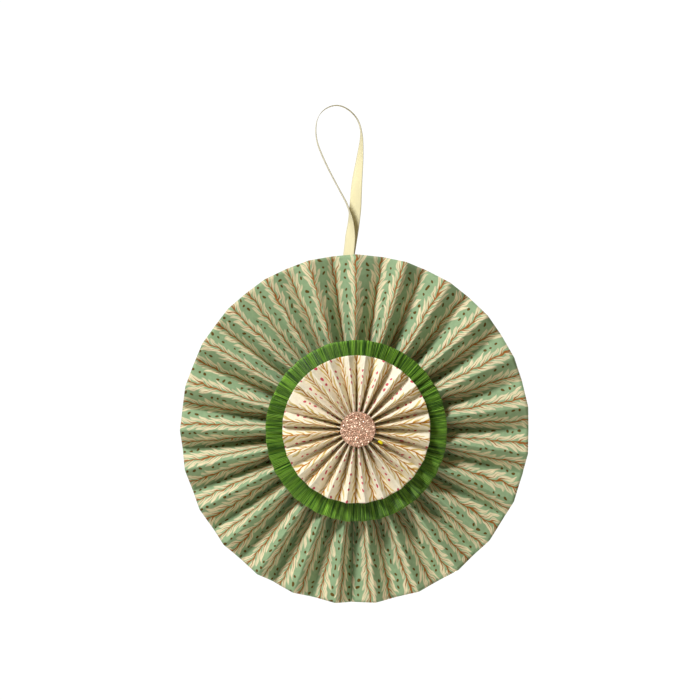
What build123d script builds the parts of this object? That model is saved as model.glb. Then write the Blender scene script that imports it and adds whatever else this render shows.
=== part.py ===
"""Hanging paper fan rosette: two pleated paper fans with a crepe frill between them,
a glitter card button in front, a card disc behind, and a satin ribbon loop to hang it by.

Frame, in millimetres: +Z up, -Y the decorated front. The origin is the top of the
ribbon loop, on its inside, where the hook carries it.

A fan is a strip of paper folded into even panels and closed into a ring. Every panel
keeps its full width from hub to rim, so a pleat is deep and narrow at the hub and
shallow and wide at the rim, and its folds bow gently towards the rim.
"""

from build123d import *
from math import cos, hypot, radians, sin, sqrt, tan
import os

# ---------------------------------------------------------------- driving dimensions
paper = 0.2  # thickness of the printed paper
glue_line = 0.06  # gap left for the adhesive between glued layers
crown = 0.12  # half width of the flat land along the outside of a fold
fan_shares = (0, 0.09, 0.34, 0.62, 0.84, 1)  # where the fans' panels have their sections
frill_shares = (0, 0.4, 1)
lap_lead = 1.5  # length over which a strip's end steps back to its glue tab
lap_gap = 0.2  # clearance between a tab and the panel in front of it, which twists

# outer fan: two strips of paper, joined at two valleys
outer_radius = 100.0
outer_hub = 4.0  # radius of the hole down the middle
outer_rim_depth = 8.5  # mean depth that the pleats still have at the rim
outer_panels = 24  # panels in each strip
outer_seam = -7.3  # clock angle of the upper joint, degrees clockwise from the top
opening = 0.09  # share by which the widest pleats are wider than the mean
opening_angle = 40.0  # clock angle of the widest pleats
outer_lap_width = 3.5  # glue tab at each end of the left strip
outer_lap_start = 36.0  # the tabs run from here to the rim

# crepe frill, a gathered ring
crepe = 0.15  # thickness of the crepe paper
frill_radius = 52.0
frill_hub = 9.0
frill_gathers = 72
frill_rim_depth = 0.65
frill_offset = (0.8, -0.8)  # how far off centre it was glued, to the right and up

# inner fan: one strip, closed on itself
inner_radius = 42.0
inner_hub = 3.0
inner_rim_depth = 6.35
inner_panels = 48
inner_seam = 0.5
inner_lap_width = 2.6
inner_lap_start = 30.0
inner_offset = (0.8, 0.2)

# discs and glue
button_radius = 10.0
button_thickness = 0.6
button_offset = (1.6, 0.4)
disc_radius = 24.0
disc_thickness = 0.8
plug_clearance = 0.25  # between a glue plug and the folds round it
collar_radius = 7.5  # the outer plug spreads to this under the inner fan

# the hub axis, measured from the inside of the ribbon loop's top
loop_drop = 85.4  # down to the top of the outer fan's rim
hub_x = 10.8
hub_z = -loop_drop - outer_radius

# ribbon
ribbon_width = 7.0
ribbon_thickness = 0.3
ribbon_stations = 72  # sections along the ribbon

# the ribbon's route from tail to tail, each point with the turn of the ribbon's width:
# 0 or 180 degrees is flat to the front, 90 is edge on
ribbon_route = [
    (5.4, 1.35, -101.4, 41),
    (6.7, 0.0, -89.9, 28),
    (8.4, -0.8, -74.9, 35),
    (8.5, -1.6, -60.4, 84),
    (1.1, -0.8, -46.9, 87),
    (-6.2, -0.2, -32.9, 86),
    (-12.2, 0.0, -18.4, 86),
    (-10.7, 0.0, -4.4, 86),
    (0.0, 0.0, 1.6, 87),
    (10.2, 0.0, -3.8, 90),
    (15.0, 0.2, -13.4, 96),
    (14.0, 0.9, -28.4, 122),
    (11.8, 2.0, -44.4, 150),
    (11.1, 3.0, -59.4, 168),
    (9.1, 2.0, -75.4, 158),
    (6.7, 0.5, -90.2, 151),
    (5.6, 1.85, -100.9, 139),
]



def panel_width(radius, panels, rim_depth):
    """Fold to fold width of a panel, from its mean chord and the pleats' depth at the rim."""
    return hypot(2 * radius * sin(radians(180 / panels)), rim_depth)


outer_panel = panel_width(outer_radius, 2 * outer_panels, outer_rim_depth)
frill_panel = panel_width(frill_radius, 2 * frill_gathers, frill_rim_depth)
inner_panel = panel_width(inner_radius, inner_panels, inner_rim_depth)

# ------------------------------------------------------------------- stack, back to front
outer_half = outer_panel / 2 + paper / 2  # from the fan's middle to its crowns
frill_back = outer_half + glue_line
frill_middle = frill_back + frill_panel / 2 + crepe / 2
inner_back = frill_middle + frill_panel / 2 + crepe / 2 + glue_line
inner_half = inner_panel / 2 + paper / 2
inner_middle = inner_back + inner_half
button_back = inner_middle + inner_half + glue_line


def layer(forward, offset=(0.0, 0.0)):
    """The plane of a layer: x to the right, y up, z forwards, on the hub axis."""
    x, y = offset
    return Plane(origin=(hub_x + x, -forward, hub_z + y), x_dir=(1, 0, 0), z_dir=(0, -1, 0))


# ------------------------------------------------------------------------- pleated paper
class Fold:
    """A fold line of a fan: clock angle, side (+1 ridge, -1 valley) and local panel sweep."""

    def __init__(self, angle, side, sweep, panel, sheet):
        self.angle, self.side, self.sweep = angle, side, sweep
        self.panel, self.sheet = panel, sheet

    def height(self, radius):
        """Half the pleat's depth at a radius, signed: what is left of the panel's width."""
        chord = 2 * radius * sin(radians(self.sweep) / 2)
        return self.side * sqrt(self.panel**2 - chord**2) / 2

    def lean(self, radius):
        """Slope of the panels beside the fold, as depth over width."""
        chord = 2 * radius * sin(radians(self.sweep) / 2)
        return 2 * abs(self.height(radius)) / (chord - self.land(radius))

    def land(self, radius):
        """Half width of the crown, which narrows where the panels crowd at the hub."""
        return min(crown, radius * sin(radians(self.sweep) / 2) / 2)

    def crotch(self, radius):
        """Depth of paper from the fold's middle surface to its inside corner."""
        lean = self.lean(radius)
        return self.sheet * sqrt(1 + lean**2) - self.sheet / 2 - lean * self.land(radius)


def fold_lines(seam, panels, panel, sheet, bias=0.0, bias_angle=0.0):
    """All the folds of a fan, clockwise from the valley at its seam and back to it."""
    mean = 360 / panels

    def sweep(angle):
        return mean * (1 + bias * cos(radians(angle - bias_angle)))

    sweeps, angle = [], seam
    for _ in range(panels):
        sweeps.append(sweep(angle + mean / 2))
        angle += sweeps[-1]
    scale = 360 / sum(sweeps)
    folds, angle = [], seam
    for i in range(panels + 1):
        folds.append(Fold(angle, 1 if i % 2 else -1, sweep(angle), panel, sheet))
        angle += scale * sweeps[i % panels]
    return folds


def panel_corners(low, high, half, radius, sheet, drop):
    """Section of a panel rising from a valley at -half to a ridge at +half."""
    valley, ridge = low.height(radius) - drop, high.height(radius)
    return [
        (-half, valley - sheet / 2),
        (-half + low.land(radius), valley - sheet / 2),
        (half, ridge - high.crotch(radius)),
        (half, ridge + sheet / 2),
        (half - high.land(radius), ridge + sheet / 2),
        (-half, valley + low.crotch(radius)),
    ]


def lap_corners(low, high, half, radius, sheet, drop, reach):
    """Section of a glue tab: the valley part of the panel above it, one layer further back."""
    full = panel_corners(low, high, half, radius, sheet, 0.0)
    edge = -half + 2 * half * reach / low.panel
    back_0, back_1, front_1, front_0 = full[1], full[2], full[4], full[5]

    def along(a, b):
        return a[1] + (b[1] - a[1]) * (edge - a[0]) / (b[0] - a[0])

    shape = [full[0], full[1], (edge, along(back_0, back_1)), (edge, along(front_0, front_1)), full[5]]
    return [(x, y - drop) for x, y in shape]


def panel_solid(base, first, last, radii, corners):
    """One panel, lofted straight through its sections from hub to rim."""
    middle = radians((first.angle + last.angle) / 2)
    half_sweep = radians(last.angle - first.angle) / 2
    rising = last.side > first.side
    low, high = (first, last) if rising else (last, first)
    with BuildPart() as panel:
        for radius in radii:
            out = radius * cos(half_sweep)
            half = radius * sin(half_sweep)
            origin = base.from_local_coords((out * sin(middle), out * cos(middle), 0))
            clockwise = base.from_local_coords(Vector(cos(middle), -sin(middle), 0)) - base.origin
            inward = base.from_local_coords(Vector(-sin(middle), -cos(middle), 0)) - base.origin
            points = corners(low, high, half, radius)
            if not rising:
                points = [(-x, y) for x, y in points]
            with BuildSketch(Plane(origin=origin, x_dir=clockwise, z_dir=inward)):
                with BuildLine():
                    Polyline(*points, close=True)
                make_face()
        loft(ruled=True)
    return panel.part


def stations(hub, rim, shares):
    """Radii of a panel's sections, at shares of the way from hub to rim."""
    return [hub + (rim - hub) * share for share in shares]


def lap_drop(fold, radius, start):
    """How far back a tab's layer lies, measured square to the fan; nothing inside start."""
    if radius < start:
        return 0.0
    return (fold.sheet + lap_gap) * sqrt(1 + fold.lean(radius) ** 2)


def fan_panels(base, folds, radii, lap_ends=(), lap_start=0.0):
    """Panels between the folds. At a fold in lap_ends the strip runs on into a glue tab."""
    panels = []
    for first, last in zip(folds, folds[1:]):

        def corners(low, high, half, radius):
            drop = lap_drop(low, radius, lap_start) if low in lap_ends else 0.0
            return panel_corners(low, high, half, radius, low.sheet, drop)

        panels.append(panel_solid(base, first, last, radii, corners))
    return panels


def lap_panel(base, first, last, radii, lap_start, reach):
    """The glue tab behind the panel between two folds, at its valley side."""

    def corners(low, high, half, radius):
        drop = lap_drop(low, radius, lap_start)
        return lap_corners(low, high, half, radius, low.sheet, drop, reach)

    return panel_solid(base, first, last, [r for r in radii if r >= lap_start], corners)


# ------------------------------------------------------------------------------ outer fan
outer_base = layer(0)
outer_radii = sorted(
    stations(outer_hub, outer_radius, fan_shares) + [outer_lap_start - lap_lead, outer_lap_start]
)
outer_folds = fold_lines(
    outer_seam, 2 * outer_panels, outer_panel, paper, opening, opening_angle
)
right_folds = outer_folds[: outer_panels + 1]
left_folds = outer_folds[outer_panels:]
left_joints = (left_folds[0], left_folds[-1])

right_panels = fan_panels(outer_base, right_folds, outer_radii)
left_panels = fan_panels(outer_base, left_folds, outer_radii, left_joints, outer_lap_start)
for first, last in (right_folds[:2], right_folds[-2:]):
    left_panels.append(
        lap_panel(outer_base, first, last, outer_radii, outer_lap_start, outer_lap_width)
    )

with BuildPart() as outer_fan_right:
    add(right_panels)
outer_fan_right.part.label = "outer_fan_right"

with BuildPart() as outer_fan_left:
    add(left_panels)
outer_fan_left.part.label = "outer_fan_left"

# The melted glue down the hub spreads into a collar under the inner fan.
plug_radius = outer_hub - plug_clearance
collar_front = inner_back - glue_line
with BuildPart() as outer_hub_glue:
    with BuildSketch(layer(-outer_half)):
        Circle(plug_radius)
    extrude(amount=2 * outer_half + glue_line)
    with BuildSketch(layer(outer_half + glue_line)):
        Circle(collar_radius)
    extrude(amount=collar_front - outer_half - glue_line)
outer_hub_glue.part.label = "outer_hub_glue"

with BuildPart() as back_disc:
    with BuildSketch(layer(-outer_half - glue_line - disc_thickness)):
        Circle(disc_radius)
    extrude(amount=disc_thickness)
back_disc.part.label = "back_disc"

# ---------------------------------------------------------------------------- crepe frill
frill_base = layer(frill_middle, frill_offset)
frill_folds = fold_lines(0.0, 2 * frill_gathers, frill_panel, crepe)
frill_panels = fan_panels(frill_base, frill_folds, stations(frill_hub, frill_radius, frill_shares))

with BuildPart() as crepe_frill:
    add(frill_panels)
crepe_frill.part.label = "crepe_frill"

# ------------------------------------------------------------------------------ inner fan
inner_base = layer(inner_middle, inner_offset)
inner_radii = sorted(
    stations(inner_hub, inner_radius, fan_shares) + [inner_lap_start - lap_lead, inner_lap_start]
)
inner_folds = fold_lines(inner_seam, inner_panels, inner_panel, paper)
inner_pieces = fan_panels(inner_base, inner_folds, inner_radii, inner_folds[-1:], inner_lap_start)
inner_pieces.append(
    lap_panel(inner_base, *inner_folds[:2], inner_radii, inner_lap_start, inner_lap_width)
)

with BuildPart() as inner_fan:
    add(inner_pieces)
inner_fan.part.label = "inner_fan"

with BuildPart() as inner_hub_glue:
    with BuildSketch(layer(inner_back, inner_offset)):
        Circle(inner_hub - plug_clearance)
    extrude(amount=2 * inner_half)
inner_hub_glue.part.label = "inner_hub_glue"

with BuildPart() as glitter_disc:
    with BuildSketch(layer(button_back, button_offset)):
        Circle(button_radius)
    extrude(amount=button_thickness)
glitter_disc.part.label = "glitter_disc"

# --------------------------------------------------------------------------------- ribbon
points = [Vector(x, y, z) for x, y, z, _ in ribbon_route]
runs = [(b - a).length for a, b in zip(points, points[1:])]
radii = []
for a, b, c in zip(points, points[1:], points[2:]):
    turn = (b - a).get_angle(c - b)
    radii.append(0.45 * min((b - a).length, (c - b).length) / tan(radians(turn) / 2))
print("ribbon radii", [round(r, 1) for r in radii])

with BuildLine() as ribbon_line:
    FilletPolyline(*points, radius=radii)
ribbon_wire = ribbon_line.wires()[0]
ribbon_length = ribbon_wire.length
reached = [ribbon_length * sum(runs[:i]) / sum(runs) for i in range(len(points))]


def ribbon_turn(length):
    """Turn of the ribbon's width at a length along it, even between the route's points."""
    for i, run_end in enumerate(reached[1:]):
        if length <= run_end:
            share = (length - reached[i]) / (run_end - reached[i])
            return ribbon_route[i][3] + share * (ribbon_route[i + 1][3] - ribbon_route[i][3])
    return ribbon_route[-1][3]


with BuildPart() as hanging_ribbon:
    for i in range(ribbon_stations + 1):
        length = ribbon_length * i / ribbon_stations
        place = ribbon_wire.position_at(length, position_mode=PositionMode.LENGTH)
        along = ribbon_wire.tangent_at(length, position_mode=PositionMode.LENGTH)
        across = Vector(0, 1, 0).cross(along).normalized()
        turn = radians(ribbon_turn(length))
        width_way = across * cos(turn) - along.cross(across) * sin(turn)
        with BuildSketch(Plane(origin=place, x_dir=width_way, z_dir=along)):
            Rectangle(ribbon_width, ribbon_thickness)
    loft(ruled=True)
hanging_ribbon.part.label = "hanging_ribbon"
print("ribbon length", round(ribbon_length, 1))

# --------------------------------------------------------------------------------- export
os.makedirs("parts", exist_ok=True)
for piece in (
    outer_fan_right,
    outer_fan_left,
    outer_hub_glue,
    back_disc,
    crepe_frill,
    inner_fan,
    inner_hub_glue,
    glitter_disc,
    hanging_ribbon,
):
    export_step(piece.part, f"parts/{piece.part.label}.step")
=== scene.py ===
"""The looks of a hanging paper fan rosette, laid out as a Blender add-on.

Two pleated fans of printed paper, a crinkled crepe frill between them, a glitter card
button in front and a satin ribbon loop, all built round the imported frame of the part.
"""

import math

import bpy
import numpy as np
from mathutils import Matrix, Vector


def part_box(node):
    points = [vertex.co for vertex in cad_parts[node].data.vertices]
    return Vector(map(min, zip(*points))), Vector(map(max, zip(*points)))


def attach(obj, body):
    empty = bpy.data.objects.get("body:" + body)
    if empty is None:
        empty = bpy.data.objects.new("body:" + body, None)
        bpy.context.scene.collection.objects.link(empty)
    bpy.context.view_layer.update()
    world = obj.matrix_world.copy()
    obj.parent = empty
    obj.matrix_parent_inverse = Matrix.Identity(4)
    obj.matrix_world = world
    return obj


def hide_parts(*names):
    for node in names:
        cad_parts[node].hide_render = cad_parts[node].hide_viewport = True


bl_info = {
    "name": "Paper Fan Rosette",
    "version": (1, 0, 0),
    "blender": (4, 5, 0),
    "location": "View3D > Sidebar > Rosette",
    "description": "Builds a hanging rosette of pleated paper fans, crepe, glitter card and ribbon",
    "category": "Add Mesh",
}

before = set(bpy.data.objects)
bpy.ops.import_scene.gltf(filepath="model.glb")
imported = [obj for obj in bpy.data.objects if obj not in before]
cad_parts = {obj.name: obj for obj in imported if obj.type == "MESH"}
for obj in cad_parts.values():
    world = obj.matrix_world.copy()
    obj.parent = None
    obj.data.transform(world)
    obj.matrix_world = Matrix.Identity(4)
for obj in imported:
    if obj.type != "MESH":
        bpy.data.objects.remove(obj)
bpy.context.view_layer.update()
MM = 0.001

# The hub axis runs along Y through the middle of the card disc behind the fans.
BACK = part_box("back_disc")
HUB_X, HUB_Z = (BACK[0].x + BACK[1].x) / 2, (BACK[0].z + BACK[1].z) / 2

# The ribbon's route from tail to tail, in metres, with the turn of its width in degrees:
# 0 or 180 is flat to the front, 90 is edge on.
RIBBON_ROUTE = [
    (0.0054, 0.00135, -0.1014, 41),
    (0.0067, 0.0, -0.0899, 28),
    (0.0084, -0.0008, -0.0749, 35),
    (0.0085, -0.0016, -0.0604, 84),
    (0.0011, -0.0008, -0.0469, 87),
    (-0.0062, -0.0002, -0.0329, 86),
    (-0.0122, 0.0, -0.0184, 86),
    (-0.0107, 0.0, -0.0044, 86),
    (0.0, 0.0, 0.0016, 87),
    (0.0102, 0.0, -0.0038, 90),
    (0.015, 0.0002, -0.0134, 96),
    (0.014, 0.0009, -0.0284, 122),
    (0.0118, 0.002, -0.0444, 150),
    (0.0111, 0.003, -0.0594, 168),
    (0.0091, 0.002, -0.0754, 158),
    (0.0067, 0.0005, -0.0902, 151),
    (0.0056, 0.00185, -0.1009, 139),
]

PANELS = 48  # round each of the two fans
OUTER_SEAM, INNER_SEAM = math.radians(-7.3), math.radians(0.5)  # clock angles of the fans' seams
FAN_ROWS = 44  # rows of points from a fan's hub to its rim
PANEL_POINTS = 12  # points across a panel
SHARP_FOLD = 0.992  # how sharp a fold is: at 1 it has no rounding
PRINT_SHIFT = (37.3, 11.0)  # mm by which the second strip's print is shifted along it and across it

# A glue tab stands this far behind the panel in front of it. It steps back over a share of a
# panel. It starts at a share of the fan's radius, and is all the way back a further share out.
TAB_DROP, TAB_STEP, TAB_START, TAB_LEAD = 0.75 * MM, 0.35, 0.36, 0.04

FRILL_HUB = 9.2 * MM  # radius of the hole in the crepe ring
FRILL_ROOM = 0.3 * MM  # how much smaller than its space the ring is, for its crinkles and hem
FRILL_COLUMNS = 3600
FLAKES = 3600
FLAKE_TIP = 0.3  # usual lean of a flake, sideways for each length forward
FLAKE_THICKNESS = 0.05 * MM

# Middle of the stray scrap, in mm: right of the hub, above it, and back from the foremost
# edge of the inner fan. It lies a hair off the pleats there. Its lower and upper edges run
# from left to right about that middle, and the paper is ruled from one to the other.
SCRAP_PLACE = (14.4, -7.0, 0.35)
SCRAP_LOWER = [(-1.5, 0.5), (-0.8, -0.3), (0.1, -1.0), (1.1, -1.2)]
SCRAP_UPPER = [(-1.6, 0.7), (-0.5, 1.2), (0.6, 0.8), (1.6, -0.4)]

# The stage, in metres. The camera looks straight at the fans.
CAMERA_AWAY = 1.2
VIEW_WIDTH = 0.4018  # how wide the view is at the fans
VIEW_RIGHT, VIEW_UP = -0.0028, 0.0452  # the view's middle from the hub
SENSOR = 36  # mm
FLOOR_DROP, FLOOR_RADIUS = 0.28, 0.55  # the floor's depth under the hub, and its radius
WALL_LIGHT, FILL_LIGHT = 1.05, 0.2  # the sky's strength to the camera and to the object
FILL_TINT = (1.0, 0.82, 0.46)

# Each soft box: its offset from the hub and its width in metres, and its power in watts.
LIGHTS = {
    "key": ((-0.6, -0.8, 0.92), 0.34, 20.5),
    "fill": ((0.7, -1.2, 0.1), 1.2, 0.4),
    "back": ((0.5, 1.0, 1.1), 0.8, 15.0),
}


def linear(code):
    """An sRGB hex colour as the linear red, green and blue that Blender works in."""
    channels = [int(code[i : i + 2], 16) / 255 for i in (1, 3, 5)]
    return [c / 12.92 if c <= 0.04045 else ((c + 0.055) / 1.055) ** 2.4 for c in channels]


def colour(name, description, code):
    """A colour property of the panel, with its default given as sRGB hex."""
    return bpy.props.FloatVectorProperty(
        name=name, description=description, subtype="COLOR", size=3, min=0, max=1, default=linear(code)
    )


def length(name, description, value):
    """A length property of the panel, in metres."""
    return bpy.props.FloatProperty(
        name=name, description=description, unit="LENGTH", min=0, precision=5, default=value
    )


# ------------------------------------------------------------------------------ settings
class RosetteSizes(bpy.types.PropertyGroup):
    outer_panel: length("Outer panel", "Fold to fold width of the outer fan's panels", 15.6 * MM)
    outer_hub: length("Outer hub", "Radius of the hole down the middle of the outer fan", 4.0 * MM)
    inner_panel: length("Inner panel", "Fold to fold width of the inner fan's panels", 8.4 * MM)
    inner_hub: length("Inner hub", "Radius of the hole down the middle of the inner fan", 3.0 * MM)
    paper: length("Paper", "Thickness of the printed paper", 0.2 * MM)
    tab: length("Glue tab", "Width of the tab that joins two strips behind a panel", 3.5 * MM)
    crepe: length("Crepe", "Thickness of the crepe paper", 0.12 * MM)
    crinkle: length("Crinkle", "Height of the crepe's fine crinkles", 0.8 * MM)
    flake: length("Glitter flake", "Width of a flake of glitter", 0.52 * MM)
    ribbon_width: length("Ribbon width", "Width of the satin ribbon", 7.0 * MM)
    ribbon_thickness: length("Ribbon thickness", "Thickness of the satin ribbon", 0.25 * MM)
    widest: bpy.props.FloatProperty(
        name="Widest pleats",
        description="Clock direction in which the outer pleats stand widest",
        subtype="ANGLE",
        default=math.radians(40),
    )
    opening: bpy.props.FloatProperty(
        name="Opening",
        description="Share by which the widest outer pleats are wider than the mean",
        subtype="FACTOR",
        min=0,
        max=0.2,
        default=0.09,
    )
    wander: bpy.props.FloatProperty(
        name="Wander",
        description="How far a hand-folded pleat strays from its even place",
        subtype="ANGLE",
        default=math.radians(0.45),
    )


class RosetteColours(bpy.types.PropertyGroup):
    sage_ground: colour("Outer ground", "Ground of the outer paper's print", "#8AA47F")
    sage_leaf: colour("Outer leaves", "Leaves of the outer paper's print", "#E3D9B6")
    sage_stem: colour("Outer stems", "Stems of the outer paper's print", "#8F5620")
    sage_dot: colour("Outer dots", "Dots of the outer paper's print", "#5B4510")
    ivory_ground: colour("Inner ground", "Ground of the inner paper's print", "#EDE6D3")
    ivory_leaf: colour("Inner leaves", "Leaves of the inner paper's print", "#D2C173")
    ivory_stem: colour("Inner stems", "Stems of the inner paper's print", "#AE7412")
    ivory_dot: colour("Inner dots", "Dots of the inner paper's print", "#C44C5C")
    bare_paper: colour("Bare paper", "The unprinted back and cut edge of the papers", "#EFEBDD")
    crepe: colour("Crepe", "The crepe paper", "#84B63C")
    # painted shade: the crepe's colour down in its creases
    crepe_crease_shade: colour("Crepe crease shade (painted)", "Painted shade of the crepe paper down in its creases", "#2E5A0C")
    card: colour("Card", "The card disc behind", "#D9D0BC")
    glue: colour("Glue", "Set hot melt glue", "#DCD6C2")
    glitter_card: colour("Glitter card", "The card under the glitter", "#D5A48C")
    glitter_pale: colour("Glitter, pale", "The palest flakes of glitter", "#FFE2CB")
    glitter_deep: colour("Glitter, deep", "The deepest flakes of glitter", "#A96A4E")
    ribbon: colour("Ribbon", "The satin ribbon", "#E2DBB4")
    scrap: colour("Scrap", "The stray scrap of yellow paper", "#EBDC14")
    floor: colour("Floor", "The studio floor", "#FAF9F6")


# ------------------------------------------------------------------------- mesh and nodes
def sheet_mesh(name, points, uv, materials, closed=False):
    """A mesh from a grid of points, rows by columns, with a face between each four neighbours.

    Columns run clockwise or rightwards and rows outwards or upwards, which faces it forwards.
    A closed sheet's last column is its first one over again, and joins it.
    """
    rows, columns = points.shape[:2]
    corner = np.arange(rows * columns).reshape(rows, columns)
    corners = np.stack(
        [corner[:-1, :-1], corner[:-1, 1:], corner[1:, 1:], corner[1:, :-1]], axis=-1
    ).reshape(-1, 4)
    kept = columns - 1 if closed else columns
    faces = corners // columns * kept + corners % columns % kept
    mesh = bpy.data.meshes.new(name)
    mesh.vertices.add(rows * kept)
    mesh.vertices.foreach_set("co", points[:, :kept].reshape(-1).astype(np.float32))
    mesh.loops.add(faces.size)
    mesh.loops.foreach_set("vertex_index", faces.reshape(-1).astype(np.int32))
    mesh.polygons.add(len(faces))
    mesh.polygons.foreach_set("loop_start", np.arange(0, faces.size, 4, dtype=np.int32))
    layer = mesh.uv_layers.new(name="millimetres")
    flat = uv.reshape(-1, 2)[corners.reshape(-1)]
    layer.data.foreach_set("uv", flat.reshape(-1).astype(np.float32))
    mesh.update(calc_edges=True)
    mesh.polygons.foreach_set("use_smooth", np.ones(len(faces), dtype=bool))
    for material in materials:
        mesh.materials.append(material)
    piece = bpy.data.objects.new(name, mesh)
    bpy.context.collection.objects.link(piece)
    return piece


def thicken(piece, thickness, back_slot=0, edge_slot=0):
    """Gives a sheet its thickness, half to each side. Its back and edge may have other slots."""
    solid = piece.modifiers.new("Thickness", "SOLIDIFY")
    solid.thickness = thickness
    solid.offset = 0
    solid.material_offset = back_slot
    solid.material_offset_rim = edge_slot


def node(tree, kind, fed=(), **settings):
    """Adds a node, sets its properties, and feeds its inputs from sockets or constants.

    In a Mix of colours input 0 is the share, 6 and 7 are the colours, and output 2 is the mix.
    """
    made = tree.nodes.new(kind)
    for name, value in settings.items():
        setattr(made, name, value)
    for key, value in dict(fed).items():
        if isinstance(value, bpy.types.NodeSocket):
            tree.links.new(value, made.inputs[key])
        else:
            made.inputs[key].default_value = value
    return made


def calculate(tree, known, steps):
    """Adds the results of some steps to the known values.

    A step is its result's name, its operation and its inputs, numbers or names of known values.
    """
    for result, operation, *inputs in steps:
        fed = {i: known[x] if isinstance(x, str) else x for i, x in enumerate(inputs)}
        known[result] = node(tree, "ShaderNodeMath", fed, operation=operation).outputs[0]


def cover(name, margin, soft):
    """Steps that turn a margin, positive inside a shape, into its cover from 0 to 1."""
    return [
        (name + "_share", "DIVIDE", margin, soft),
        (name + "_floor", "MAXIMUM", name + "_share", 0.0),
        (name, "MINIMUM", name + "_floor", 1.0),
    ]


def rgba(tint, shade=1.0):
    """A colour, times a shade, as the four numbers that a socket takes."""
    return (*(c * shade for c in tint), 1.0)


def surface(name, metallic=0.0, roughness=0.6, ior=1.5, specular=0.5):
    """A new material, its node tree and its Principled shader, with the constants set on it."""
    material = bpy.data.materials.new(name)
    material.use_nodes = True
    tree = material.node_tree
    shader = tree.nodes["Principled BSDF"]
    shader.inputs["Metallic"].default_value = metallic
    shader.inputs["Roughness"].default_value = roughness
    shader.inputs["IOR"].default_value = ior
    shader.inputs["Specular IOR Level"].default_value = specular
    return material, tree, shader


def relief(tree, shader, height, distance, strength=1.0):
    """Feeds a height to the shader as bumps of that many metres."""
    bump = node(tree, "ShaderNodeBump", {"Height": height, "Distance": distance, "Strength": strength})
    tree.links.new(bump.outputs[0], shader.inputs["Normal"])


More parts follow.
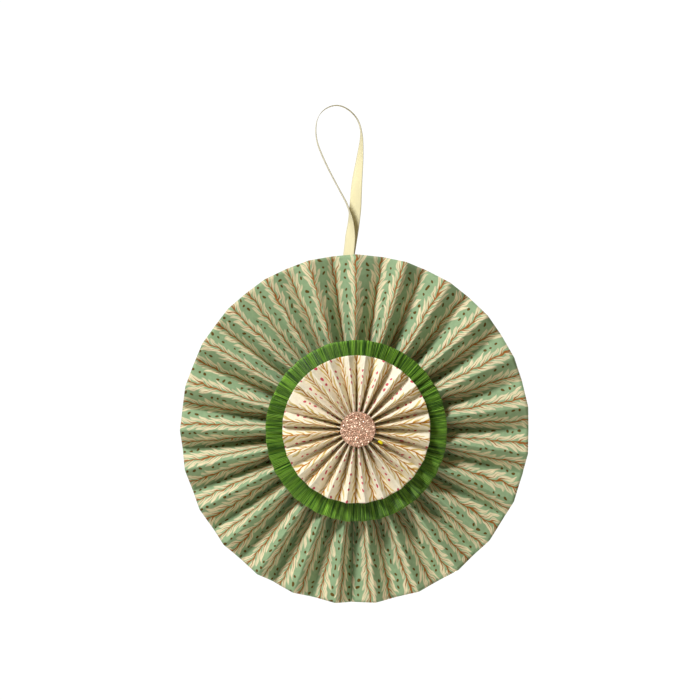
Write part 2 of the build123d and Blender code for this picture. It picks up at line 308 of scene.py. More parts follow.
# ------------------------------------------------------------------------------ materials
def offset_printed_paper(name, pitch, leaf_gap, reach, leaf, dot, stem, colours):
    """Uncoated 150 gsm craft paper, offset printed with rows of leaves.

    The ink soaks in, so the print has no gloss of its own and its edges are a little soft.
    Each stem runs along the folds, a little crooked. Slanting leaves of uneven length and tone
    leave it by turns to each side, each with a rib and two side veins, and a column of dots
    in threes runs midway between two stems. The ink is worn and uneven in small patches.

    Lengths are millimetres: the pitch is from stem to stem, the leaf gap from leaf to leaf on
    one side, and the reach from a leaf's root to its tip, across the stem. Leaf and stem are
    half widths, and dot is a radius.
    """
    ground, leaf_colour, stem_colour, dot_colour = colours
    slope = 1.8  # how far a leaf climbs for each length away from its stem
    root = 0.2  # a leaf starts this far from the middle of its stem
    soft = 0.18  # width of a soft edge
    bends = 0.13  # stems bend about this often in a millimetre
    swing = 5.0  # twice the furthest that a bend goes
    patches = 0.35  # worn patches in a millimetre
    dot_gap = 3.8 * dot
    leans = 1 / math.hypot(1, slope)
    material, tree, shader = surface(name, roughness=0.82, ior=1.5, specular=0.3)
    flat = node(tree, "ShaderNodeUVMap", uv_map="millimetres").outputs[0]
    sway = node(tree, "ShaderNodeTexNoise", {"Vector": flat, "Scale": bends, "Detail": 1.0}).outputs[1]
    swung = node(tree, "ShaderNodeVectorMath", {0: sway, 1: (0.5, 0.5, 0.5)}, operation="SUBTRACT")
    swung = node(tree, "ShaderNodeVectorMath", {0: swung.outputs[0], 3: swing}, operation="SCALE")
    place = node(tree, "ShaderNodeVectorMath", {0: flat, 1: swung.outputs[0]}, operation="ADD")
    split = node(tree, "ShaderNodeSeparateXYZ", {0: place.outputs[0]})
    worn = node(
        tree,
        "ShaderNodeTexNoise",
        {"Vector": flat, "Scale": patches, "Detail": 6.0, "Roughness": 0.7},
    )
    known = {"u": split.outputs[0], "v": split.outputs[1], "worn": worn.outputs[0]}
    calculate(
        tree,
        known,
        [
            # how far a point is from its stem, and from the middle line of its leaf
            ("from_stem", "WRAP", "u", pitch / 2, -pitch / 2),
            ("away", "ABSOLUTE", "from_stem"),
            ("right", "GREATER_THAN", "from_stem", 0.0),
            ("stagger", "MULTIPLY", "right", leaf_gap / 2),
            ("climb", "MULTIPLY", "away", slope),
            ("dropped", "SUBTRACT", "v", "climb"),
            ("row", "ADD", "dropped", "stagger"),
            ("from_rib", "WRAP", "row", leaf_gap / 2, -leaf_gap / 2),
            # the leaf's number, which gives it a chance of its own
            ("row_share", "DIVIDE", "row", leaf_gap),
            ("row_count", "ROUND", "row_share"),
            ("stem_share", "DIVIDE", "u", pitch),
            ("stem_count", "ROUND", "stem_share"),
        ],
    )
    counts = node(
        tree, "ShaderNodeCombineXYZ", {0: known["stem_count"], 1: known["row_count"], 2: known["right"]}
    )
    known["chance"] = node(tree, "ShaderNodeTexWhiteNoise", {"Vector": counts.outputs[0]}).outputs[0]
    calculate(
        tree,
        known,
        [
            ("rib_gap", "ABSOLUTE", "from_rib"),
            ("beside", "MULTIPLY", "rib_gap", leans),
            # q runs from 0 at the leaf's root to 1 at its tip, and the leaf bulges in between
            ("past_root", "SUBTRACT", "away", root),
            ("long", "MULTIPLY_ADD", "chance", reach * 0.45, reach * 0.55),
            ("share", "DIVIDE", "past_root", "long"),
            ("share_up", "MAXIMUM", "share", 0.0),
            ("q", "MINIMUM", "share_up", 1.0),
            ("q_low", "POWER", "q", 0.9),
            ("q_turn", "MULTIPLY", "q_low", math.pi),
            ("bulge", "SINE", "q_turn"),
            ("half_leaf", "MULTIPLY", "bulge", leaf),
            ("leaf_margin", "SUBTRACT", "half_leaf", "beside"),
            *cover("leaf", "leaf_margin", soft),
            ("leaf_tone", "MULTIPLY_ADD", "chance", 0.35, 0.65),
            ("leaf_ink", "MULTIPLY", "leaf", "leaf_tone"),
            # the rib tapers away before the leaf's tip
            ("rib_left", "SUBTRACT", 0.85, "q"),
            ("half_rib", "MULTIPLY", "rib_left", 0.55),
            ("rib_margin", "SUBTRACT", "half_rib", "beside"),
            *cover("rib", "rib_margin", soft),
            # a vein on each side of it, where the leaf is wide
            ("side_vein", "MULTIPLY", "half_leaf", 0.6),
            ("past_vein", "SUBTRACT", "beside", "side_vein"),
            ("vein_gap", "ABSOLUTE", "past_vein"),
            ("vein_margin", "SUBTRACT", 0.16, "vein_gap"),
            *cover("vein", "vein_margin", soft),
            ("in_leaf", "GREATER_THAN", "bulge", 0.3),
            ("leaf_vein", "MULTIPLY", "vein", "in_leaf"),
            ("vein_ink", "MULTIPLY", "leaf_vein", 0.6),
            ("stem_margin", "SUBTRACT", stem, "away"),
            *cover("stem", "stem_margin", soft),
            # a round dot in each gap of the column, but none in each fourth
            ("from_dots", "SUBTRACT", pitch / 2, "away"),
            ("dot_v", "WRAP", "v", dot_gap / 2, -dot_gap / 2),
            ("dot_u2", "MULTIPLY", "from_dots", "from_dots"),
            ("dot_v2", "MULTIPLY", "dot_v", "dot_v"),
            ("dot_2", "ADD", "dot_u2", "dot_v2"),
            ("dot_r", "SQRT", "dot_2"),
            ("three", "WRAP", "v", 2 * dot_gap, -2 * dot_gap),
            ("three_gap", "ABSOLUTE", "three"),
            ("in_three", "LESS_THAN", "three_gap", 1.5 * dot_gap),
            ("dot_half", "MULTIPLY", "in_three", dot),
            ("dot_margin", "SUBTRACT", "dot_half", "dot_r"),
            *cover("dot", "dot_margin", soft),
            ("wear", "MULTIPLY_ADD", "worn", 0.6, 0.7),
        ],
    )
    shade = rgba(ground)
    for part, ink in (
        ("leaf_ink", leaf_colour),
        ("vein_ink", stem_colour),
        ("rib", stem_colour),
        ("dot", dot_colour),
        ("stem", stem_colour),
    ):
        inked = {0: known[part], 6: shade, 7: rgba(ink)}
        shade = node(tree, "ShaderNodeMix", inked, data_type="RGBA").outputs[2]
    worn_off = {0: 1.0, 6: shade, 7: known["wear"]}
    faded = node(tree, "ShaderNodeMix", worn_off, data_type="RGBA", blend_type="MULTIPLY")
    tree.links.new(faded.outputs[2], shader.inputs["Base Color"])
    # Paper fibres are near 0.03 mm across, drawn at 0.3 mm so that they show.
    fibre = node(tree, "ShaderNodeTexNoise", {"Vector": flat, "Scale": 1 / 0.3, "Detail": 4.0})
    relief(tree, shader, fibre.outputs[0], 0.03 * MM, 0.6)
    return material


def bare_paper(name, tint):
    """Uncoated paper with no print: matt and faintly fibrous.

    The fibres are drawn as patches of 0.6 mm so that they show.
    """
    material, tree, shader = surface(name, roughness=0.88, ior=1.5, specular=0.3)
    place = node(tree, "ShaderNodeTexCoord").outputs["Object"]
    fibre = node(tree, "ShaderNodeTexNoise", {"Vector": place, "Scale": 1 / (0.6 * MM), "Detail": 4.0})
    shades = {0: fibre.outputs[0], 6: rgba(tint), 7: rgba(tint, 0.86)}
    tone = node(tree, "ShaderNodeMix", shades, data_type="RGBA")
    tree.links.new(tone.outputs[2], shader.inputs["Base Color"])
    relief(tree, shader, fibre.outputs[0], 0.03 * MM, 0.5)
    return material


def crepe_paper(name, tint, deep):
    """Florist's crepe paper: dyed through, crinkled across its width, dull and a little fuzzy.

    The creases run along the radius, about 0.5 mm apart and 40 times as long. Their shade is
    painted in as a deep colour down in them, with the tint on the crests and bumps to match.
    """
    material, tree, shader = surface(name, roughness=0.9, ior=1.5, specular=0.25)
    place = node(tree, "ShaderNodeUVMap", uv_map="millimetres").outputs[0]
    stretch = node(tree, "ShaderNodeMapping", {"Vector": place, "Scale": (1.0, 0.025, 1.0)})
    streak = node(
        tree,
        "ShaderNodeTexNoise",
        {"Vector": stretch.outputs[0], "Scale": 2.1, "Detail": 3.0, "Roughness": 0.6},
    )
    contrast = {"Value": streak.outputs[0], "From Min": 0.4, "From Max": 0.6}
    lit_share = node(tree, "ShaderNodeMapRange", contrast).outputs[0]
    # painted shade: the deep colour goes into the creases and the tint onto the crests
    shades = {0: lit_share, 6: rgba(deep), 7: rgba(tint)}
    tone = node(tree, "ShaderNodeMix", shades, data_type="RGBA")
    tree.links.new(tone.outputs[2], shader.inputs["Base Color"])
    shader.inputs["Sheen Weight"].default_value = 0.15
    relief(tree, shader, streak.outputs[0], 0.25 * MM, 0.7)
    return material


def plain_card(name, tint):
    """Plain card of pressed pulp: matt, with a fibre mottled in patches of about 1.5 mm."""
    material, tree, shader = surface(name, roughness=0.85, ior=1.5, specular=0.3)
    place = node(tree, "ShaderNodeTexCoord").outputs["Object"]
    fibre = node(tree, "ShaderNodeTexNoise", {"Vector": place, "Scale": 1 / (1.5 * MM), "Detail": 6.0})
    shades = {0: fibre.outputs[0], 6: rgba(tint), 7: rgba(tint, 0.8)}
    tone = node(tree, "ShaderNodeMix", shades, data_type="RGBA")
    tree.links.new(tone.outputs[2], shader.inputs["Base Color"])
    relief(tree, shader, fibre.outputs[0], 0.05 * MM, 0.6)
    return material


def hot_melt(name, tint):
    """EVA hot melt glue, set: cloudy, waxy and rounded, with a soft shine."""
    material, tree, shader = surface(name, roughness=0.35, ior=1.48)
    shader.inputs["Subsurface Weight"].default_value = 0.4
    shader.inputs["Subsurface Scale"].default_value = 2 * MM
    place = node(tree, "ShaderNodeTexCoord").outputs["Object"]
    cloud = node(tree, "ShaderNodeTexNoise", {"Vector": place, "Scale": 1 / (3 * MM), "Detail": 2.0})
    shades = {0: cloud.outputs[0], 6: rgba(tint), 7: rgba(tint, 0.85)}
    tone = node(tree, "ShaderNodeMix", shades, data_type="RGBA")
    tree.links.new(tone.outputs[2], shader.inputs["Base Color"])
    relief(tree, shader, cloud.outputs[0], 0.4 * MM, 0.5)
    return material


def glitter_flake(name, pale, deep):
    """Polyester glitter, vacuum metallised rose gold: each flake is a tiny flat mirror.

    A clear lacquer over the metal softens it, so its shine is part metal and part plastic.
    """
    material, tree, shader = surface(name, metallic=0.65, roughness=0.36)
    own = node(tree, "ShaderNodeAttribute", attribute_name="flake_tone", attribute_type="GEOMETRY")
    shades = {0: own.outputs["Fac"], 6: rgba(deep), 7: rgba(pale)}
    tone = node(tree, "ShaderNodeMix", shades, data_type="RGBA")
    tree.links.new(tone.outputs[2], shader.inputs["Base Color"])
    return material


def glitter_bed(name, tint):
    """The glue and fine glitter between the larger flakes: a rough metal paste, each fine grain painted
    full in its middle and darker to its rim as a painted glint and shade.
    """
    material, tree, shader = surface(name, metallic=0.4, roughness=0.55)
    place = node(tree, "ShaderNodeTexCoord").outputs["Object"]
    grain_cells = node(tree, "ShaderNodeTexVoronoi", {"Vector": place, "Scale": 1 / (0.4 * MM)})
    # painted glint and shade: each fine grain's colour is full in its middle and darker to its rim
    shades = {0: grain_cells.outputs["Distance"], 6: rgba(tint), 7: rgba(tint, 0.45)}
    tone = node(tree, "ShaderNodeMix", shades, data_type="RGBA")
    tree.links.new(tone.outputs[2], shader.inputs["Base Color"])
    relief(tree, shader, grain_cells.outputs["Distance"], 0.2 * MM)
    return material


def woven_satin(name, tint):
    """Single-face polyester satin ribbon: long floats along it give a streaky, silky shine.

    The floats are 0.1 mm apart, drawn at 0.35 mm so that they show, and the selvedges are
    a firmer, slightly deeper line along each edge.
    """
    selvedge = 3.15  # mm from the middle of the ribbon
    material, tree, shader = surface(name, roughness=0.48, ior=1.5)
    shader.inputs["Sheen Weight"].default_value = 0.25
    shader.inputs["Anisotropic"].default_value = 0.5
    place = node(tree, "ShaderNodeUVMap", uv_map="millimetres").outputs[0]
    split = node(tree, "ShaderNodeSeparateXYZ", {0: place})
    stretch = node(tree, "ShaderNodeMapping", {"Vector": place, "Scale": (1 / 0.35, 0.04, 1.0)})
    floats = node(tree, "ShaderNodeTexNoise", {"Vector": stretch.outputs[0], "Scale": 1.0, "Detail": 2.0})
    known = {"u": split.outputs[0], "float": floats.outputs[0]}
    calculate(
        tree,
        known,
        [
            ("side", "ABSOLUTE", "u"),
            ("selvedge", "GREATER_THAN", "side", selvedge),
            ("tone", "MULTIPLY_ADD", "float", 0.16, 0.92),
            ("firm", "MULTIPLY", "selvedge", 0.07),
            ("shade", "SUBTRACT", "tone", "firm"),
        ],
    )
    shades = {0: 1.0, 6: rgba(tint), 7: known["shade"]}
    dyed = node(tree, "ShaderNodeMix", shades, data_type="RGBA", blend_type="MULTIPLY")
    tree.links.new(dyed.outputs[2], shader.inputs["Base Color"])
    relief(tree, shader, floats.outputs[0], 0.04 * MM, 0.5)
    return material


def ribbon_edge_shade(name, tint):
    """The ribbon's edge faces: duller, and darkened as a painted shade on the edge-on strand."""
    material, _, shader = surface(name, roughness=0.7)
    # painted shade: the edge faces take the ribbon colour at 0.42
    shader.inputs["Base Color"].default_value = rgba(tint, 0.42)
    return material


def painted_floor(name, tint):
    """A smooth, pale, matt studio floor."""
    material, _, shader = surface(name, roughness=0.8, specular=0.2)
    shader.inputs["Base Color"].default_value = rgba(tint)
    return material


# --------------------------------------------------------------------------- paper shapes
def fold_angles(seam, opening, widest, wander, seed):
    """Clock angles of a wheel's folds in radians, from the valley at its seam round to it.

    A panel's sweep is the mean times one plus the opening times the cosine of its distance
    from the widest pleats. Each fold but the seam then strays at random by the wander.
    """
    mean = 2 * np.pi / PANELS
    middle = seam + mean * (np.arange(PANELS) + 0.5)
    sweep = mean * (1 + opening * np.cos(middle - widest))
    folds = seam + np.concatenate([[0.0], np.cumsum(sweep)]) * 2 * np.pi / sweep.sum()
    stray = np.random.default_rng(seed).normal(0, wander, PANELS + 1)
    folds[1:-1] += np.clip(stray, -2 * wander, 2 * wander)[1:-1]
    return folds


def pleated_strip(folds, width, radii, start, end, drop_in, seed):
    """A strip of paper folded to and fro, as rows of points from hub to rim.

    Its columns are counted in panels from the seam, so whole numbers are folds and odd ones
    are ridges. In plan a point lies on the chord between its two folds. It stands forward by
    a triangle wave, its corners rounded as an arcsine of a sine, times half the depth that a
    panel of this width has left when its chord is taken from it. A panel also bows a little,
    more towards the rim, and stands back by the drop-in near a glue tab.
    """
    least_depth, bow_height = 0.12 * width, 0.22 * MM
    rng = np.random.default_rng(seed)
    count = len(folds) - 1
    first, last = math.floor(start), math.ceil(end)
    ease = (1 - np.cos(np.pi * np.arange(PANEL_POINTS) / PANEL_POINTS)) / 2
    column = (first + np.arange(last - first)[:, None] + ease).reshape(-1)
    column = np.append(column[(column > start) & (column < end)], end)
    column = np.insert(column, 0, start)
    panel = np.minimum(np.floor(column), last - 1).astype(int)
    share = (column - panel)[None, :]

    def fold(k):
        return folds[k % count] + 2 * np.pi * (k // count)

    def depth(k):
        sweep = (fold(k + 1) - fold(k - 1)) / 2
        chord = 2 * radii[:, None] * np.sin(sweep / 2)
        return np.sqrt(np.maximum(width**2 - chord**2, least_depth**2))

    a, b = fold(panel)[None, :], fold(panel + 1)[None, :]
    r = radii[:, None]
    x = r * ((1 - share) * np.sin(a) + share * np.sin(b))
    z = r * ((1 - share) * np.cos(a) + share * np.cos(b))
    swing = np.where(panel % 2 == 0, -1, 1) * (1 - 2 * share)
    wave = np.arcsin(SHARP_FOLD * np.sin(np.pi / 2 * swing)) / np.arcsin(SHARP_FOLD)
    forward = wave * ((1 - share) * depth(panel) + share * depth(panel + 1)) / 2
    bow = rng.normal(0, bow_height, last - first + 1)[panel - first] * np.sin(np.pi * share)
    forward = forward + bow * (r / radii[-1]) - drop_in(column, r)
    uv = np.stack(np.broadcast_arrays(column * width / MM, r / MM), axis=-1)
    return np.stack([x, -forward, z], axis=-1), uv


def placed(points, x, forward, z):
    """The points moved out to a layer of the stack."""
    return points + np.array([x, -forward, z])


def layer_of(node_name):
    """A node's middle across, its distance forward and up, and its radius and half thickness."""
    low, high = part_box(node_name)
    middle = (low + high) / 2
    return middle.x, -middle.y, middle.z, (high.x - low.x) / 2, (high.y - low.y) / 2


def tab_drop(start, end, tabs, width, rim):
    """How far back a strip stands, as a function of the column in panels and the radius.

    It is the full drop within a tab's width of a tabbed end, and eases to none over the step
    beyond it, and again below the radius where the tab starts.
    """

    def drop_in(column, r):
        if not tabs:
            return 0.0
        inside = np.minimum(column - start, end - column) if tabs == 2 else end - column
        near = np.clip(1 - (inside - width) / TAB_STEP, 0, 1)[None, :]
        on = np.clip((r - TAB_START * rim) / (TAB_LEAD * rim), 0, 1)
        return near * near * (3 - 2 * near) * on * TAB_DROP

    return drop_in


def fan_pieces(name, place, hub, rim, width, folds, strips, materials, sizes):
    """One piece for each strip of a fan, of paper printed in front and bare behind.

    A strip is the node that it replaces, its start and end in panels, its number of tabs, of
    which one is at its end, and its seed. A tab runs on past the end, behind the next panel.
    """
    radii = hub + (rim - hub) * np.linspace(0, 1, FAN_ROWS) ** 0.9
    for i, (replaced, start, end, tabs, seed) in enumerate(strips):
        drop_in = tab_drop(start, end, tabs, sizes.tab / width, rim)
        points, uv = pleated_strip(folds, width, radii, start, end, drop_in, seed)
        uv = uv + i * np.array(PRINT_SHIFT)
        piece = sheet_mesh(f"{name}_{i + 1}", placed(points, *place), uv, materials)
        thicken(piece, sizes.paper, back_slot=1, edge_slot=1)
        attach(piece, "root")
        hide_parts(replaced)


def crinkled_ring(radius, hub, half_depth, crinkle, seed):
    """A gathered ring of crepe, as rows of points from hub to rim.

    It stands forward by two sums of sines round the clock, each with random counts and
    phases: some 70 broad gathers, deepest at the hub where the paper is drawn together, and
    some 420 fine crinkles, as deep all the way out. Its rim strays a little, in the ring's
    plane and out of it, by a third and slower sum.
    """
    hub_gather, rim_gather = 0.75, 0.14  # shares of the half depth
    hem_in, hem_back = 0.14 * MM, 0.2 * MM
    rng = np.random.default_rng(seed)
    clock = np.linspace(0, 2 * np.pi, FRILL_COLUMNS + 1)

    def ripple(fewest, most, waves):
        count = rng.integers(fewest, most, waves)[:, None]
        phase = rng.uniform(0, 2 * np.pi, waves)[:, None]
        total = np.sin(count * clock + phase).sum(axis=0)
        return total / np.sqrt(waves / 2)

    gathers, crinkles, hem = ripple(55, 90, 7), ripple(330, 520, 16), ripple(5, 40, 6)
    # The rows are closer together towards the rim, which is the part that shows.
    share = np.array([0, 0.12, 0.28, 0.45, 0.6, 0.7, 0.78, 0.85, 0.91, 0.96, 1.0])[:, None]
    r = hub + (radius - hub) * share + hem_in * hem * share**6
    depth = half_depth * (hub_gather + (rim_gather - hub_gather) * share)
    forward = np.clip(depth * gathers, -half_depth, half_depth) + crinkle / 2 * crinkles
    forward = forward - hem_back * share**4 * hem
    uv = np.stack(np.broadcast_arrays(clock * radius / MM, r / MM), axis=-1)
    x, z = r * np.sin(clock), r * np.cos(clock)
    return np.stack([x, -forward, z], axis=-1), uv


def route_line(route):
    """The points of a smooth line that is drawn towards the route's points."""
    curve = bpy.data.curves.new("route", "CURVE")
    curve.dimensions = "3D"
    spline = curve.splines.new("NURBS")
    spline.points.add(len(route) - 1)
    spline.points.foreach_set("co", [c for x, y, z, _ in route for c in (x, y, z, 1.0)])
    spline.order_u = 3
    spline.use_endpoint_u = True
    spline.resolution_u = 14
    holder = bpy.data.objects.new("route", curve)
    bpy.context.collection.objects.link(holder)
    traced = bpy.data.meshes.new_from_object(holder)
    points = np.empty(len(traced.vertices) * 3)
    traced.vertices.foreach_get("co", points)
    bpy.data.objects.remove(holder)
    bpy.data.meshes.remove(traced)
    return points.reshape(-1, 3)


def flat_band(line, route, width):
    """A band along a line, as rows of points along it and its length.

    Its width way is turned about the line: the cosine of the turn sideways, and the sine of
    it towards the front. The turn is even between the route's points, by length.
    """
    steps = np.linalg.norm(np.diff(line, axis=0), axis=1)
    reach = np.concatenate([[0], np.cumsum(steps)])
    stops = np.array([p[:3] for p in route])
    runs = np.concatenate([[0], np.cumsum(np.linalg.norm(np.diff(stops, axis=0), axis=1))])
    turn = np.radians(np.interp(reach / reach[-1], runs / runs[-1], [p[3] for p in route]))
    along = np.gradient(line, axis=0)
    along /= np.linalg.norm(along, axis=1)[:, None]
    across = np.cross([0.0, 1.0, 0.0], along)
    across /= np.linalg.norm(across, axis=1)[:, None]
    back = np.cross(along, across)
    way = across * np.cos(turn)[:, None] - back * np.sin(turn)[:, None]
    offset = np.linspace(-width / 2, width / 2, 9)
    points = line[:, None, :] + way[:, None, :] * offset[None, :, None]
    uv = np.stack(np.broadcast_arrays(offset[None, :] / MM, reach[:, None] / MM), axis=-1)
    return points, uv, reach[-1]


def scattered_flakes(radius, front, width, count, seed):
    """Square flakes strewn evenly over a disc, four corners each, tipped and spun at random."""
    rng = np.random.default_rng(seed)
    clock, r = rng.uniform(0, 2 * np.pi, count), radius * np.sqrt(rng.uniform(0, 1, count))
    lift = rng.uniform(0.02, 0.14, count) * MM
    middle = np.stack([r * np.sin(clock), -(front + lift), r * np.cos(clock)], axis=-1)
    tip, nod = rng.normal(0, FLAKE_TIP, count), rng.normal(0, FLAKE_TIP, count)
    facing = np.stack([tip, -np.ones(count), nod], axis=-1)
    facing /= np.linalg.norm(facing, axis=1)[:, None]
    spin = rng.uniform(0, np.pi, count)
    loose = np.stack([np.cos(spin), np.zeros(count), np.sin(spin)], axis=-1)
    side = np.cross(facing, loose)
    side /= np.linalg.norm(side, axis=1)[:, None]
    other = np.cross(side, facing)
    half = width / 2 * rng.uniform(0.7, 1.15, count)[:, None, None]
    signs = np.array([(-1, -1), (-1, 1), (1, 1), (1, -1)])
    corners = side[:, None, :] * signs[None, :, :1] + other[:, None, :] * signs[None, :, 1:]
    return middle[:, None, :] + corners * half, rng.uniform(0, 1, count)


# -------------------------------------------------------------------------------- steps
class ROSETTE_OT_stage(bpy.types.Operator):
    """Makes the pale floor, the soft studio light and the camera"""

    bl_idname = "rosette.stage"
    bl_label = "Stage"

    def execute(self, context):
        colours = context.scene.rosette_colours
        world = bpy.data.worlds.new("Studio")
        context.scene.world = world
        world.use_nodes = True
        tree = world.node_tree
        # The sky is a plain white wall to the camera, and a dim, warm and even fill to the object.
        seen = node(tree, "ShaderNodeLightPath").outputs["Is Camera Ray"]
        strengths = {"Value": seen, "To Min": FILL_LIGHT, "To Max": WALL_LIGHT}
        level = node(tree, "ShaderNodeMapRange", strengths)
        tints = {0: seen, 6: rgba(FILL_TINT), 7: rgba((1.0, 1.0, 1.0))}
        tint = node(tree, "ShaderNodeMix", tints, data_type="RGBA")
        tree.links.new(level.outputs[0], tree.nodes["Background"].inputs["Strength"])
        tree.links.new(tint.outputs[2], tree.nodes["Background"].inputs["Color"])

        bpy.ops.mesh.primitive_circle_add(
            vertices=128, radius=FLOOR_RADIUS, fill_type="NGON", location=(HUB_X, 0, HUB_Z - FLOOR_DROP)
        )
        floor = context.object
        floor.name = "floor"
        floor.data.materials.append(painted_floor("Painted studio floor", colours.floor))

        for name, (offset, size, watts) in LIGHTS.items():
            self.light(name, Vector(offset), size, watts)

        lens = bpy.data.cameras.new("camera")
        lens.sensor_width = SENSOR
        lens.lens = SENSOR * CAMERA_AWAY / VIEW_WIDTH
        camera = bpy.data.objects.new("camera", lens)
        camera.location = (HUB_X + VIEW_RIGHT, -CAMERA_AWAY, HUB_Z + VIEW_UP)
        camera.rotation_euler = (math.pi / 2, 0, 0)
        context.collection.objects.link(camera)
        context.scene.camera = camera
        context.scene.view_settings.view_transform = "Standard"
        return {"FINISHED"}

    def light(self, name, offset, size, watts):
        """A soft box beside the fan, by its offset from the hub, turned to face it."""
        lamp = bpy.data.lights.new(name, "AREA")
        lamp.shape = "DISK"
        lamp.size = size
        lamp.energy = watts
        box = bpy.data.objects.new(name, lamp)
        box.location = Vector((HUB_X, 0, HUB_Z)) + offset
        box.rotation_euler = (-offset).to_track_quat("-Z", "Y").to_euler()
        bpy.context.collection.objects.link(box)


class ROSETTE_OT_ribbon(bpy.types.Operator):
    """Makes the satin ribbon loop"""

    bl_idname = "rosette.ribbon"
    bl_label = "Ribbon"

    def execute(self, context):
        sizes, colours = context.scene.rosette_sizes, context.scene.rosette_colours
        line = route_line(RIBBON_ROUTE)
        points, uv, reach = flat_band(line, RIBBON_ROUTE, sizes.ribbon_width)
        satin = woven_satin("Polyester satin ribbon", colours.ribbon)
        # the edge faces get a painted shade
        selvedge = ribbon_edge_shade("Polyester satin edge, painted shade", colours.ribbon)
        piece = sheet_mesh("ribbon_loop", points, uv, [satin, selvedge])
        thicken(piece, sizes.ribbon_thickness, edge_slot=1)
        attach(piece, "root")
        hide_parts("hanging_ribbon")
        return {"FINISHED"}


class ROSETTE_OT_outer_fan(bpy.types.Operator):
    """Makes the outer fan from its two pleated strips of sage printed paper"""

    bl_idname = "rosette.outer_fan"
    bl_label = "Outer Fan"

    def execute(self, context):
        sizes, colours = context.scene.rosette_sizes, context.scene.rosette_colours
        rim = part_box("outer_fan_right")[1].x - HUB_X
        folds = fold_angles(OUTER_SEAM, sizes.opening, sizes.widest, sizes.wander, seed=4)
        # The stems stand a little closer than the folds, so that they drift across the panels.
        printed = offset_printed_paper(
            "Offset printed paper, sage",
            pitch=sizes.outer_panel / MM * 0.968,
            leaf_gap=6.2,
            reach=6.9,
            leaf=1.42,
            dot=1.0,
            stem=0.5,
            colours=(colours.sage_ground, colours.sage_leaf, colours.sage_stem, colours.sage_dot),
        )
        bare = bare_paper("Bare paper back", colours.bare_paper)
        tab, half = sizes.tab / sizes.outer_panel, PANELS / 2
        fan_pieces(
            "outer_fan",
            place=(HUB_X, 0.0, HUB_Z),
            hub=sizes.outer_hub,
            rim=rim,
            width=sizes.outer_panel,
            folds=folds,
            strips=[
                ("outer_fan_right", 0.0, half, 0, 11),
                ("outer_fan_left", half - tab, PANELS + tab, 2, 12),
            ],
            materials=[printed, bare],
            sizes=sizes,
        )
        return {"FINISHED"}


class ROSETTE_OT_crepe_frill(bpy.types.Operator):
    """Makes the crinkled crepe frill"""

    bl_idname = "rosette.crepe_frill"
    bl_label = "Crepe Frill"

    def execute(self, context):
        sizes, colours = context.scene.rosette_sizes, context.scene.rosette_colours
        x, forward, z, radius, half = layer_of("crepe_frill")
        points, uv = crinkled_ring(
            radius - FRILL_ROOM, FRILL_HUB, half - FRILL_ROOM, sizes.crinkle, seed=21
        )
        points = placed(points, x, forward, z)
        crepe = crepe_paper("Florist's crepe paper", colours.crepe, colours.crepe_crease_shade)
        piece = sheet_mesh("crepe_frill_ring", points, uv, [crepe], closed=True)
        thicken(piece, sizes.crepe)
        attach(piece, "root")
        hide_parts("crepe_frill")
        return {"FINISHED"}


class ROSETTE_OT_inner_fan(bpy.types.Operator):
    """Makes the inner fan from its pleated strip of ivory printed paper"""

    bl_idname = "rosette.inner_fan"
    bl_label = "Inner Fan"

    def execute(self, context):
        sizes, colours = context.scene.rosette_sizes, context.scene.rosette_colours
        x, _, z, rim, _ = layer_of("inner_fan")
        _, forward, _, _, _ = layer_of("inner_hub_glue")
        # Folds this narrow stray half as far again.
        folds = fold_angles(INNER_SEAM, 0.0, 0.0, sizes.wander * 1.5, seed=8)
        # The stems stand nearly two panels apart, so that they drift across them.
        printed = offset_printed_paper(
            "Offset printed paper, ivory",
            pitch=sizes.inner_panel / MM * 1.846,
            leaf_gap=6.4,
            reach=6.0,
            leaf=0.95,
            dot=1.0,
            stem=0.6,
            colours=(colours.ivory_ground, colours.ivory_leaf, colours.ivory_stem, colours.ivory_dot),
        )
        bare = bare_paper("Bare paper back, ivory", colours.bare_paper)
        tab = sizes.tab / sizes.inner_panel
        fan_pieces(
            "inner_fan",
            place=(x, forward, z),
            hub=sizes.inner_hub,
            rim=rim,
            width=sizes.inner_panel,
            folds=folds,
            strips=[("inner_fan", 0.0, PANELS + tab, 1, 31)],
            materials=[printed, bare],
            sizes=sizes,
        )
        return {"FINISHED"}


class ROSETTE_OT_scrap(bpy.types.Operator):
    """Drops a tiny stray scrap of yellow paper on the inner pleats"""

    bl_idname = "rosette.scrap"
    bl_label = "Stray Scrap"

    def execute(self, context):
        sizes, colours = context.scene.rosette_sizes, context.scene.rosette_colours
        lower, upper = np.array(SCRAP_LOWER), np.array(SCRAP_UPPER)
        flat = lower + np.linspace(0, 1, 5)[:, None, None] * (upper - lower)
        right, up, back = SCRAP_PLACE
        # It curls like a sine along its length, by 0.12 mm to and fro.
        curl = 0.12 * np.sin(flat[..., 0] * 1.3)
        x = HUB_X + (right + flat[..., 0]) * MM
        z = HUB_Z + (up + flat[..., 1]) * MM
        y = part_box("inner_fan")[0].y + (back + curl) * MM
        paper = bare_paper("Dyed paper scrap, yellow", colours.scrap)
        piece = sheet_mesh("stray_scrap", np.stack([x, y, z], axis=-1), flat, [paper])
        thicken(piece, sizes.paper / 2)
        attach(piece, "root")
        return {"FINISHED"}


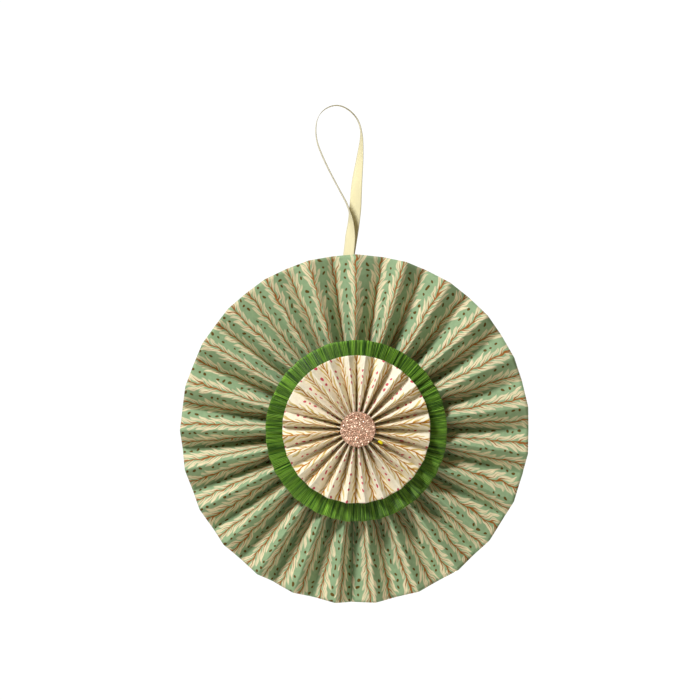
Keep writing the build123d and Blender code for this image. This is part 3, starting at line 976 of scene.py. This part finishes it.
class ROSETTE_OT_glitter(bpy.types.Operator):
    """Strews the card button in front with rose gold glitter"""

    bl_idname = "rosette.glitter"
    bl_label = "Glitter Button"

    def execute(self, context):
        sizes, colours = context.scene.rosette_sizes, context.scene.rosette_colours
        x, forward, z, radius, half = layer_of("glitter_disc")
        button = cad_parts["glitter_disc"]
        button.material_slots[0].material = glitter_bed("Glitter card", colours.glitter_card)
        # The outermost flakes end just inside the button's edge.
        spread = radius - 0.3 * MM
        corners, tone = scattered_flakes(spread, half, sizes.flake, FLAKES, seed=41)
        corners = placed(corners, x, forward, z)
        mesh = bpy.data.meshes.new("glitter_flakes")
        faces = np.arange(FLAKES * 4).reshape(-1, 4).tolist()
        mesh.from_pydata(corners.reshape(-1, 3), [], faces)
        tones = mesh.attributes.new("flake_tone", "FLOAT", "POINT")
        tones.data.foreach_set("value", np.repeat(tone, 4).astype(np.float32))
        flake = glitter_flake("Rose gold glitter", colours.glitter_pale, colours.glitter_deep)
        mesh.materials.append(flake)
        piece = bpy.data.objects.new("glitter_flakes", mesh)
        context.collection.objects.link(piece)
        thicken(piece, FLAKE_THICKNESS)
        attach(piece, "root")
        return {"FINISHED"}


class ROSETTE_OT_hub(bpy.types.Operator):
    """Finishes the card disc behind and the glue in the hubs"""

    bl_idname = "rosette.hub"
    bl_label = "Hub and Card"

    def execute(self, context):
        colours = context.scene.rosette_colours
        glue = hot_melt("Set hot melt glue", colours.glue)
        card = plain_card("Plain card", colours.card)
        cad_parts["back_disc"].material_slots[0].material = card
        for name in ("outer_hub_glue", "inner_hub_glue"):
            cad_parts[name].material_slots[0].material = glue
        return {"FINISHED"}


STEPS = (
    ROSETTE_OT_stage,
    ROSETTE_OT_ribbon,
    ROSETTE_OT_outer_fan,
    ROSETTE_OT_crepe_frill,
    ROSETTE_OT_inner_fan,
    ROSETTE_OT_scrap,
    ROSETTE_OT_glitter,
    ROSETTE_OT_hub,
)


class ROSETTE_PT_sidebar(bpy.types.Panel):
    """Lists the rosette's steps, sizes and colours"""

    bl_label = "Paper Fan Rosette"
    bl_idname = "ROSETTE_PT_sidebar"
    bl_space_type = "VIEW_3D"
    bl_region_type = "UI"
    bl_category = "Rosette"

    def draw(self, context):
        for step in STEPS:
            self.layout.operator(step.bl_idname)
        for group in (context.scene.rosette_sizes, context.scene.rosette_colours):
            box = self.layout.box()
            for name in group.__annotations__:
                box.prop(group, name)


CLASSES = (RosetteSizes, RosetteColours, *STEPS, ROSETTE_PT_sidebar)


def register():
    for cls in CLASSES:
        bpy.utils.register_class(cls)
    bpy.types.Scene.rosette_sizes = bpy.props.PointerProperty(type=RosetteSizes)
    bpy.types.Scene.rosette_colours = bpy.props.PointerProperty(type=RosetteColours)


def unregister():
    del bpy.types.Scene.rosette_colours
    del bpy.types.Scene.rosette_sizes
    for cls in reversed(CLASSES):
        bpy.utils.unregister_class(cls)


def main():
    """Registers the add-on and builds the rosette, one step after another."""
    register()
    for step in STEPS:
        group, name = step.bl_idname.split(".")
        getattr(getattr(bpy.ops, group), name)()


if __name__ == "__main__":
    main()
